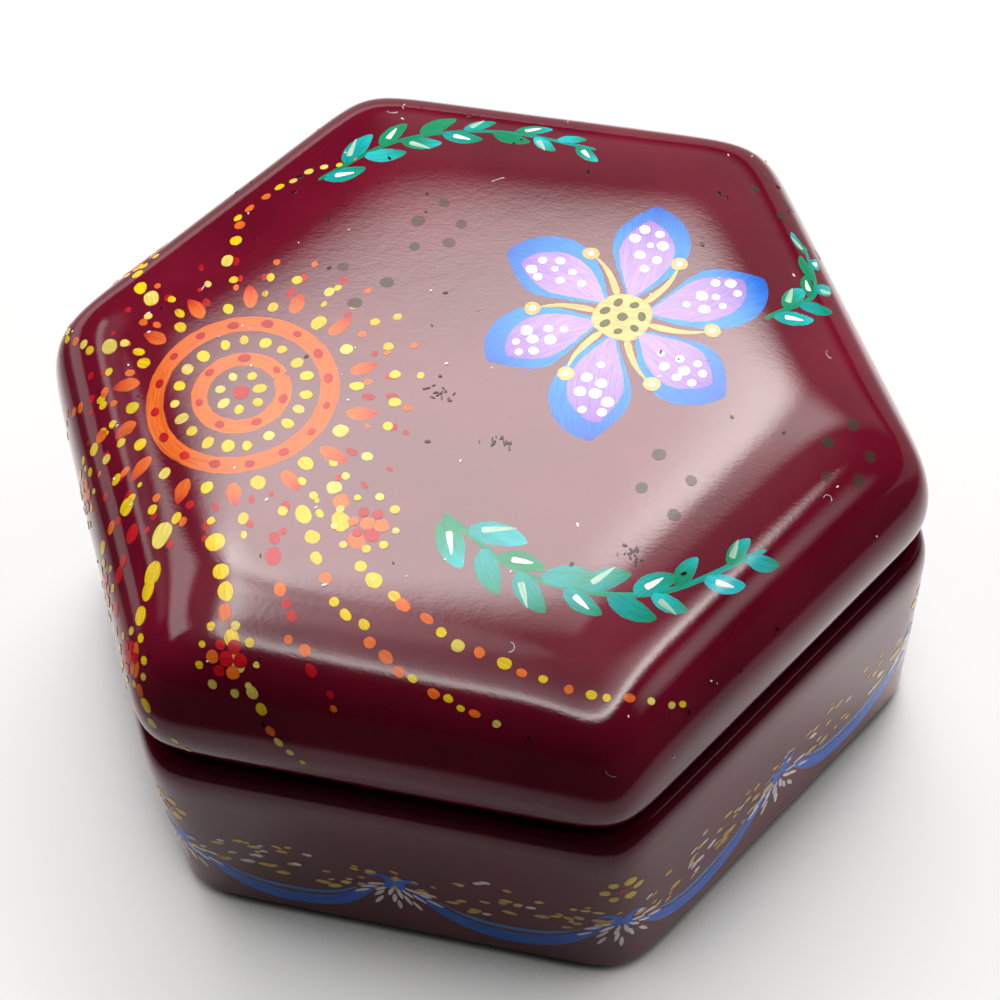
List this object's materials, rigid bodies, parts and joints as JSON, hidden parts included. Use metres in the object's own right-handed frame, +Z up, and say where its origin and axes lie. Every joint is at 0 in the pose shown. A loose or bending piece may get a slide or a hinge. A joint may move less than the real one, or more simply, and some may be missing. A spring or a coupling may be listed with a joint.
{
  "type": "pottery trinket box",
  "caption": "Hexagonal glazed pottery trinket box with a pillow-shaped lid that lifts straight off; a flange under the lid centres it in the hollow base.",
  "frame": {"origin": "middle of the foot ring's underside, on the table", "axes": "+X through two opposite corners of the hexagon, +Y square to two of its flat sides, +Z up, the way the lid lifts"},
  "size_m": [0.1028, 0.0912, 0.0523],
  "materials": {
    "maroon_glaze": "gloss",
    "painted_motif": "gloss"
  },
  "bodies": {
    "base": {"base": "maroon_glaze"},
    "lid": {"lid": "maroon_glaze"}
  },
  "joints": [
    {"name": "lid_lift", "type": "slide", "parent": "base", "child": "lid", "axis": [0, 0, 1], "range_m": [0, 0.08]}
  ]
}
